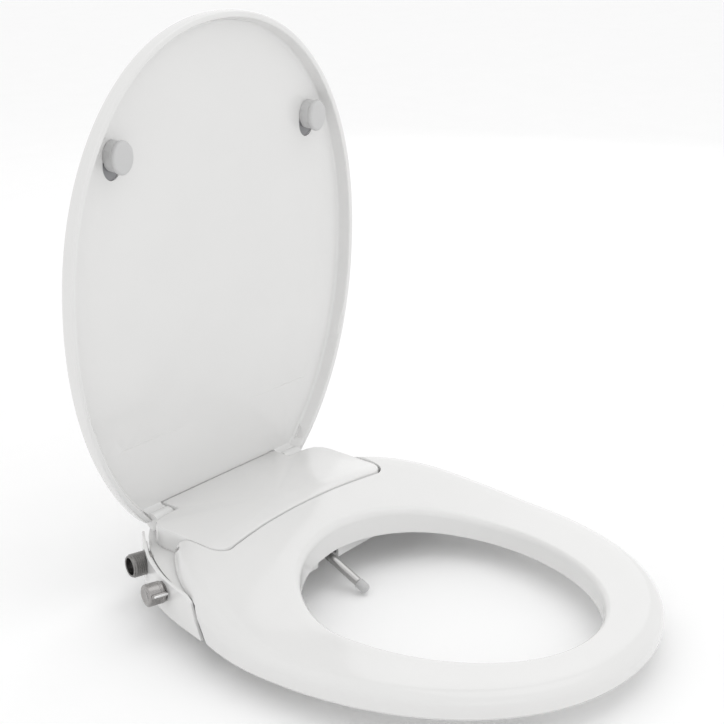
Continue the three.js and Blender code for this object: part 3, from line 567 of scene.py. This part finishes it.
def cover_room():
    """Room for the housing cover, with a rounded rim where it meets the top of the ring."""
    foot, rear, draft = -10, 80, 0.2
    levels = [(None, 0), (-1.2, 0), (-0.5, 0.18), (-0.12, 0.5), (0.3, 1.1), (8, 6)]
    rings = []
    for lift, flare in levels:
        ring = []
        for x, y in tongue_outline(SEAM + flare, rear):
            z = foot if lift is None else seat_top(y) + lift
            spread = max(0.0, COVER_TOP - z) * draft if y < -30 else 0
            ring.append(Vector((x, y - spread, z)))
        rings.append(ring)
    return loft(rings)


def arm_ends():
    """What is cut away behind the arms, so that they turn about the hinge."""
    y, z = SEAT_AXIS.y, SEAT_AXIS.z
    heel = [(y, 0), (y, z - 8.5), (y + 3, z - 7.9), (y + 5.6, z - 6.2), (y + 7.1, z - 3.6), (ARM_END, z)]
    nose = [(ARM_END, COVER_TOP - 3), (ARM_END - 0.5, COVER_TOP - 1.2), (ARM_END - 1.6, COVER_TOP - 0.2),
            (ARM_END - 3, COVER_TOP + 0.4), (ARM_END - 3, 80), (60, 80), (60, 0)]
    return across(heel + nose)


class BIDET_OT_seat_ring(bpy.types.Operator):
    """Builds the seat ring with its raised rear arms"""

    bl_idname = "bidet.seat_ring"
    bl_label = "Seat ring"

    def execute(self, context):
        arms = block((-200, -95, -60), (200, 60, 80))
        hollow = combined(hoop(SEAT_SKIN, lambda y, w: -30, ROUND // 2), [cut(arms)])
        hole = rod(SEAT_AXIS, X_AXIS, PIN_HOLE, -123, 123, 32)
        shape = combined(hoop(), [
            cut(hollow), cut(cover_room()), cut(across(SEAT_STEP)), cut(arm_ends()), cut(hole)])
        finished("seat_ring", shape, "seat", "white_gloss", ["seat_shell"], 28)
        refine("seat_base_plate", "seat_underside")
        return {"FINISHED"}


def foot_pad(name, node):
    """A rubber foot with a rounded edge in place of a plain one."""
    round_edges(refine(name, node), 0.0011, 40, 3)


class BIDET_OT_feet(bpy.types.Operator):
    """Builds the rubber feet under the seat ring and the housing"""

    bl_idname = "bidet.feet"
    bl_label = "Rubber feet"

    def execute(self, context):
        for side, _ in SIDES:
            foot_pad(f"front_foot_{side}", f"seat_bumper_front_{side}")
            foot_pad(f"rear_foot_{side}", f"seat_bumper_rear_{side}")
            foot_pad(f"housing_foot_{side}", f"base_pad_{side}")
            foot_pad(f"housing_rear_foot_{side}", f"rear_pad_{side}")
        return {"FINISHED"}


# ------------------------------------------------------------------- the lid
LID_UP = Vector((0, -math.cos(LID_OPEN), math.sin(LID_OPEN)))
LID_FACE = Vector((0, -math.sin(LID_OPEN), -math.cos(LID_OPEN)))
LID_TURN = Matrix((X_AXIS, LID_UP, LID_FACE)).transposed().to_4x4()
LID_PLACE = Matrix.Translation(LID_FOOT) @ LID_TURN


def lid_ring(inset, depth):
    """A loop round the lid as it lies flat, with its foot at the origin."""
    ring = []
    for angle in turns(ROUND):
        place = egg_point(LID_EGG, angle, inset)
        ring.append(Vector((place.x, -place.y, depth)))
    return ring


def laid_flat(bm):
    """Brings a shape from the open lid's place to that of the lid lying flat."""
    bmesh.ops.transform(bm, matrix=LID_PLACE.inverted(), verts=bm.verts)
    return bm


def arc(start, end, bulge, steps=6):
    """Inset and depth along a quarter of an ellipse; bulge says which comes first."""
    points = []
    for a in quarter_turn(steps)[1:]:
        s, c = math.sin(a), 1 - math.cos(a)
        u, w = (s, c) if bulge else (c, s)
        points.append((mix(start[0], end[0], u), mix(start[1], end[1], w)))
    return points


def lid_levels():
    """Inset and depth from the outer face round the rim to the inner face."""
    corner = sizes().lid_corner / MM
    side_top, rim_top = (0, LID_RIM - 1.8), (4.2, LID_RIM)
    fillet = (8.0, LID_PLATE + 3.0)
    levels = [(60, LID_BACK), (14, LID_BACK), (corner, LID_BACK)]
    levels += arc((corner, LID_BACK), (0, LID_BACK + 5.4), True)
    levels += [side_top, *arc(side_top, (1.5, LID_RIM), False, 4)]
    levels += [rim_top, *arc(rim_top, (5.6, LID_RIM - 1.6), True, 3)]
    levels += [fillet, *arc(fillet, (11.0, LID_PLATE), False, 4)]
    return levels + [(20, LID_PLATE), (60, LID_PLATE)]


def turned_to_lid(bm):
    """Turns a shape from the shut lid's place to the open lid's."""
    turn = Matrix.Translation(LID_AXIS) @ Matrix.Rotation(-LID_SHUT, 4, "X") @ Matrix.Translation(-LID_AXIS)
    bmesh.ops.transform(bm, matrix=turn, verts=bm.verts)
    return bm


def cover_outline(inset):
    """The whole cover seen from above, made smaller all round."""
    half = TONGUE["half"] - inset
    rear = COVER_REAR - inset
    edge = [p for p in tongue_outline(-inset, -18) if p[0] > 0]
    edge += [(half - 1.5, -9 - inset * 0.5), (half - 6, -2 - inset), (half - 14, 1 - inset),
             (half - 24, 2 - inset), (rear + 2, 2.4 - inset), (rear, 4.5 - inset), (rear, 23 - inset)]
    front = TONGUE["front"] + inset + TONGUE["hollow"]
    return edge + [(-x, y) for x, y in reversed(edge)] + [(0, front)]


def lid_ear(side):
    """A round ear on the hinge, and the web with a hollow curve that joins it to the lid."""
    near, far, radius = EAR
    start, end = (near, far) if side > 0 else (-far, -near)
    rim, nick = 1.0, 0.3
    boss = turned([(0, start), (radius - rim, start), (radius - nick, start + nick), (radius, start + rim),
                   (radius, end - rim), (radius - nick, end - nick), (radius - rim, end), (0, end)],
                  LID_AXIS, X_AXIS, 64)
    y, z = LID_AXIS.y, LID_AXIS.z
    deep, high = 8.4, 3.4
    hollow = [(y + 4 + deep * math.sin(a), z + 10 - high * math.cos(a)) for a in reversed(quarter_turn(6))]
    outline = [(y, z), (y + 12.6, z), *hollow]
    web = loft([[Vector((x, *place)) for place in outline] for x in (start, end)])
    return boss, web


def place_stop(bm, sign, along, depth=0.0):
    """Squeezes a round shape to the stops' oval and puts it on the lid's plate."""
    bmesh.ops.scale(bm, vec=(*STOP_OVAL, 1), verts=bm.verts)
    place = LID_PLACE @ Vector((sign * LID_STOP.x, LID_STOP.y + along, LID_PLATE + depth))
    bmesh.ops.transform(bm, matrix=Matrix.Translation(place) @ LID_TURN, verts=bm.verts)
    return bm


def stop_pocket(sign):
    """The oval hollow below a stop, where a dark disc of painted shade sits."""
    shift, radius, depth = STOP_HOLLOW
    return place_stop(rod(Vector(), Z_AXIS, radius, -depth, 3), sign, -shift)


class BIDET_OT_lid(bpy.types.Operator):
    """Builds the dished lid with its hinge ears"""

    bl_idname = "bidet.lid"
    bl_label = "Lid"

    def execute(self, context):
        half, room = FOOT_ROOM
        pin_end = EAR[1] - 1.5
        steps = [
            cut(block((-300, -50, -50), (300, 60, LID_AXIS.z + 1))),
            cut(rod(LID_AXIS, X_AXIS, room, -half, half)),
        ]
        for _, side in SIDES:
            steps += [join(shape) for shape in lid_ear(side)]
        steps.append(cut(rod(LID_AXIS, X_AXIS, PIN_HOLE, -pin_end, pin_end, 32)))
        seat = combined(hoop(-1.0), [cut(block((-300, -60, -60), (300, 60, 90)))])
        cover = loft([[Vector((x, y, z)) for x, y in cover_outline(-1)] for z in (30, COVER_TOP + 0.9)])
        cover = combined(cover, [cut(block((-200, -200, 0), (200, -30, 100)))])
        steps += [cut(turned_to_lid(seat)), cut(turned_to_lid(cover))]
        steps += [cut(stop_pocket(sign)) for _, sign in SIDES]
        steps = [(operation, laid_flat(tool)) for operation, tool in steps]
        shape = combined(loft([lid_ring(*level) for level in lid_levels()]), steps)
        bmesh.ops.transform(shape, matrix=LID_PLACE, verts=shape.verts)
        finished("lid", shape, "lid", "white_gloss", ["lid_shell"], 28)
        return {"FINISHED"}


class BIDET_OT_lid_stops(bpy.types.Operator):
    """Builds the two oval rubber stops inside the lid, and a dark disc in the hollow below each, painted shade for
    the stops' shadows
    """

    bl_idname = "bidet.lid_stops"
    bl_label = "Lid stops"

    def execute(self, context):
        profile = [(0, 0.25), (14.3, 0.25), (14.7, 0.7), (14.7, 9.2), (14.2, 9.6), (14.2, 10.1),
                   (15.4, 10.5), (15.9, 11.1), (16, 12.2), (15.8, 13.4), (15.2, 14.3), (14.2, 14.9),
                   (12.8, 15.1), (0, 15.1)]
        shift, radius, depth = STOP_HOLLOW
        for side, sign in SIDES:
            stop = turned(profile, Vector(), Z_AXIS)
            place_stop(stop, sign, 0)
            finished(f"lid_stop_{side}", stop, "lid", "grey_rubber", [f"lid_bumper_{side}"])
            # A dark grey disc on the floor of the hollow below each stop, in the grey moulding finish: painted
            # shade for the stop's shadow.
            pocket_shade = place_stop(rod(Vector(), Z_AXIS, radius - 0.3, 0.2, 0.9), sign, -shift, -depth)
            finished(f"lid_stop_pocket_shade_{side}", pocket_shade, "lid", "grey_rubber", finish="grey_plastic")
        return {"FINISHED"}


# --------------------------------------------------------------- the housing
class BIDET_OT_housing(bpy.types.Operator):
    """Builds the housing's base, cover and side panels"""

    bl_idname = "bidet.housing"
    bl_label = "Housing"

    def execute(self, context):
        rounding = sizes().edge_radius
        refine("housing_floor", "housing_base", rounding * 0.6, 30)
        refine("housing_top", "housing_cover", 0, 35)
        refine("right_panel", "control_panel", rounding, 30)
        refine("left_panel", "side_panel", rounding, 30)
        return {"FINISHED"}


class BIDET_OT_bracket(bpy.types.Operator):
    """Builds the mounting plate, its inserts, the release latch and its button"""

    bl_idname = "bidet.bracket"
    bl_label = "Bracket"

    def execute(self, context):
        rounding = sizes().edge_radius
        refine("bracket", "mounting_plate", rounding)
        for side, _ in SIDES:
            refine(f"bracket_insert_{side}", f"bolt_insert_{side}", rounding / 2)
        refine("latch", "release_latch", rounding / 2)
        box_low, box_high = (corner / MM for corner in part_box("release_button"))
        middle = (box_low + box_high) / 2
        radius = (box_high.z - box_low.z) / 2
        long = box_high.x - box_low.x
        profile = [(0, 0), (radius, 0), (radius, long - 1.6), (radius - 0.5, long - 0.5),
                   (radius - 1.6, long), (radius - 2.2, long), (radius - 3.4, long - 0.7), (0, long - 0.9)]
        button = turned(profile, Vector((box_low.x, middle.y, middle.z)), X_AXIS)
        finished("push_button", button, "release", "light_grey", ["release_button"])
        return {"FINISHED"}


# ------------------------------------------------------------- water fittings
class BIDET_OT_inlet(bpy.types.Operator):
    """Builds the threaded water inlet with its filter"""

    bl_idname = "bidet.inlet"
    bl_label = "Water inlet"

    def execute(self, context):
        crest, root, long, bore = 10.4, 9.5, 17.0, 4
        ridge = ((root, 0.12), (crest - 0.15, 0.42), (crest, 0.5), (crest - 0.15, 0.58), (root, 0.88))
        pitch = sizes().thread_pitch / MM
        place = 1.0
        profile = [(bore, -14), (5.5, -14), (5.5, -2.4), (root, -2.4), (root, place)]
        while place + pitch < long - 0.8:
            profile += [(radius, place + pitch * share) for radius, share in ridge]
            place += pitch
        profile += [(root, long - 0.6), (root - 0.6, long), (8.0, long), (7.6, long - 0.4), (7.6, 5),
                    (bore, 5), (bore, -14)]
        inlet = turned(profile, INLET_ROOT, CONTROL_OUT)
        finished("water_inlet", inlet, "housing", "dark_brass", ["inlet_fitting"], 24)
        refine("inlet_filter", "inlet_screen")
        return {"FINISHED"}


class BIDET_OT_lever(bpy.types.Operator):
    """Builds the flow lever and its collar"""

    bl_idname = "bidet.lever"
    bl_label = "Flow lever"

    def execute(self, context):
        radius, start, end = LEVER_HUB
        profile = [(0, 14.3), (3.3, 14.3), (3.3, start), (8.7, start), (9.2, start + 0.3),
                   (radius, start + 0.9), (radius, start + 2.4), (9.0, start + 2.9), (9.0, start + 3.5),
                   (radius, start + 4), (radius, end - 1.8), (9.3, end - 0.9), (8.8, end - 0.4),
                   (7.6, end), (6.4, end), (5.6, end - 0.5), (0, end - 0.8)]
        hub = turned(profile, LEVER_ROOT, CONTROL_OUT)
        finished("flow_lever", hub, "lever", "chrome", ["lever_handle"], 30)
        turn = Matrix((CONTROL_OUT, Z_AXIS.cross(CONTROL_OUT), -Z_AXIS)).transposed().to_4x4()
        place = Matrix.Translation(LEVER_ROOT) @ turn @ Matrix.Rotation(LEVER_TILT, 4, "X")
        # The second bar is a thin strip of brighter metal along the first one's top edge: a painted highlight.
        for name, bottom, top, half, short, rounding, finish in LEVER_BARS:
            bar = block((start - 0.2, radius + bottom, -half), (end - short, radius + top, half))
            bmesh.ops.bevel(bar, geom=bar.edges[:], offset=rounding, segments=4, affect="EDGES",
                            profile=0.5, material=-1)
            bmesh.ops.transform(bar, matrix=place, verts=bar.verts)
            finished(name, bar, "lever", "chrome", finish=finish)
        collar = turned([(3.5, -2.2), (8, -2.2), (8, 3.3), (7.4, 3.9), (3.5, 3.9), (3.5, -2.2)],
                        LEVER_ROOT, CONTROL_OUT)
        finished("lever_ring", collar, "housing", "chrome", ["lever_collar"])
        return {"FINISHED"}


class BIDET_OT_nozzle(bpy.types.Operator):
    """Builds the spray nozzle, its tube and the sleeve that it slides in"""

    bl_idname = "bidet.nozzle"
    bl_label = "Spray nozzle"

    def execute(self, context):
        tube = turned([(2.4, -24), (4, -24), (4, 37.6), (3.7, 38), (2.4, 38), (2.4, -24)],
                      NOZZLE_ROOT, NOZZLE_OUT, 64)
        finished("nozzle_pipe", tube, "nozzle", "steel", ["nozzle_tube"])
        tip = [(0, 38.3), (4.3, 38.3), (4.6, 38.7), (4.6, 39.8), (4.4, 40), (4.4, 40.5), (4.6, 40.7),
               (4.6, 46), (4.4, 47), (3.9, 48), (3.1, 48.7), (2.1, 49), (0, 49)]
        up = -NOZZLE_OUT.cross(X_AXIS)
        outlet = rod(NOZZLE_ROOT + NOZZLE_OUT * 43.5 + up * 0.5, up, 0.9, 0, 10, 24)
        shape = combined(turned(tip, NOZZLE_ROOT, NOZZLE_OUT, 64), [cut(outlet)])
        finished("nozzle_head", shape, "nozzle", "light_grey", ["nozzle_tip"])
        refine("nozzle_sleeve", "nozzle_barrel")
        refine("nozzle_bush", "nozzle_guide")
        return {"FINISHED"}


class BIDET_OT_inner_parts(bpy.types.Operator):
    """Gives each remaining inner part its finish and smooth curves"""

    bl_idname = "bidet.inner_parts"
    bl_label = "Inner parts"

    def execute(self, context):
        replaced = {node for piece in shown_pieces() for node in piece.get("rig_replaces", [])}
        for node in sorted(frame["nodes"]):
            if node not in replaced:
                refine(f"inner_{node}", node)
        return {"FINISHED"}


# -------------------------------------------------------------------- stage
CAMERA_TURN, CAMERA_LIFT = math.radians(-51.62), math.radians(19.64)
CAMERA_AIM = Vector((0, -125, 145))
AIM_RIGHT, AIM_UP = 16.63, 48.22  # how far the aim is moved to centre the view, in millimetres
FOCAL_LENGTH = 74.17
LIGHT_AIM = (0, -0.15, 0.15)
# Name, place and size in metres, power in watts
SOFTBOXES = (
    ("Overhead softbox", (0.5, -0.5, 1.9), (1.4, 1.4), 3.2),
    ("Front softbox", (-1.2, -1.9, 1.0), (1.2, 1.2), 1.6),
    ("Rim softbox", (1.6, 0.6, 0.9), (0.8, 1.4), 1.4),
)


def area_light(name, place, size, power):
    """A soft rectangular light that faces the seat."""
    light = bpy.data.lights.new(name, "AREA")
    light.shape = "RECTANGLE"
    light.size, light.size_y = size
    light.energy = power
    thing = bpy.data.objects.new(name, light)
    thing.location = place
    thing.rotation_euler = (Vector(LIGHT_AIM) - Vector(place)).to_track_quat("-Z", "Y").to_euler()
    bpy.context.scene.collection.objects.link(thing)


class BIDET_OT_stage(bpy.types.Operator):
    """Sets up the floor, the studio light and the camera"""

    bl_idname = "bidet.stage"
    bl_label = "Studio stage"

    def execute(self, context):
        scene = context.scene
        bm = bmesh.new()
        bmesh.ops.create_grid(bm, x_segments=1, y_segments=1, size=6)
        bmesh.ops.translate(bm, vec=(0, 0, CAD_LOW.z - 0.002), verts=bm.verts)
        mesh = bpy.data.meshes.new("floor")
        bm.to_mesh(mesh)
        bm.free()
        floor = bpy.data.objects.new("floor", mesh)
        scene.collection.objects.link(floor)
        paint = surface("Pale floor", tuple(finishes().floor), 0.9, spread=0.004, relief=0.0)
        floor.data.materials.append(paint)
        floor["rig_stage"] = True

        world = bpy.data.worlds.new("Studio")
        world.use_nodes = True
        world.node_tree.nodes["Background"].inputs["Color"].default_value = (1, 1, 1, 1)
        world.node_tree.nodes["Background"].inputs["Strength"].default_value = 1.0
        scene.world = world
        scene.view_settings.view_transform = "Standard"
        for softbox in SOFTBOXES:
            area_light(*softbox)

        right = Vector((math.cos(CAMERA_TURN), math.sin(CAMERA_TURN), 0))
        back = Vector((math.sin(CAMERA_TURN) * math.cos(CAMERA_LIFT),
                       -math.cos(CAMERA_TURN) * math.cos(CAMERA_LIFT), math.sin(CAMERA_LIFT)))
        up = back.cross(right)
        target = (CAMERA_AIM + right * AIM_RIGHT + up * AIM_UP) * MM
        lens = bpy.data.cameras.new("Camera")
        lens.lens = FOCAL_LENGTH
        lens.sensor_width = 36
        lens.clip_start, lens.clip_end = 0.05, 50
        camera = bpy.data.objects.new("Camera", lens)
        camera.matrix_world = Matrix.Translation(target + back * sizes().camera_distance) @ Matrix(
            (right, up, back)).transposed().to_4x4()
        scene.collection.objects.link(camera)
        scene.camera = camera
        return {"FINISHED"}


OPERATORS = (
    BIDET_OT_seat_ring, BIDET_OT_feet, BIDET_OT_lid, BIDET_OT_lid_stops, BIDET_OT_housing, BIDET_OT_bracket,
    BIDET_OT_inlet, BIDET_OT_lever, BIDET_OT_nozzle, BIDET_OT_inner_parts, BIDET_OT_stage,
)


class BIDET_PT_panel(bpy.types.Panel):
    """Lists the sizes, the finishes and the pieces"""

    bl_idname = "BIDET_PT_panel"
    bl_label = "Bidet Seat"
    bl_space_type = "VIEW_3D"
    bl_region_type = "UI"
    bl_category = "Bidet Seat"

    def draw(self, context):
        layout = self.layout
        for group in (context.scene.bidet_sizes, context.scene.bidet_finishes):
            column = layout.column()
            for name in group.bl_rna.properties.keys():
                if name not in {"rna_type", "name"}:
                    column.prop(group, name)
        for operator in OPERATORS:
            layout.operator(operator.bl_idname)


CLASSES = (BidetSizes, BidetFinishes, *OPERATORS, BIDET_PT_panel)


def register():
    for cls in CLASSES:
        bpy.utils.register_class(cls)
    bpy.types.Scene.bidet_sizes = bpy.props.PointerProperty(type=BidetSizes)
    bpy.types.Scene.bidet_finishes = bpy.props.PointerProperty(type=BidetFinishes)


def unregister():
    del bpy.types.Scene.bidet_finishes
    del bpy.types.Scene.bidet_sizes
    for cls in reversed(CLASSES):
        bpy.utils.unregister_class(cls)


def main():
    register()
    MATERIALS.update(make_materials())
    for operator in OPERATORS:
        group, name = operator.bl_idname.split(".")
        getattr(getattr(bpy.ops, group), name)()


if __name__ == "__main__":
    main()
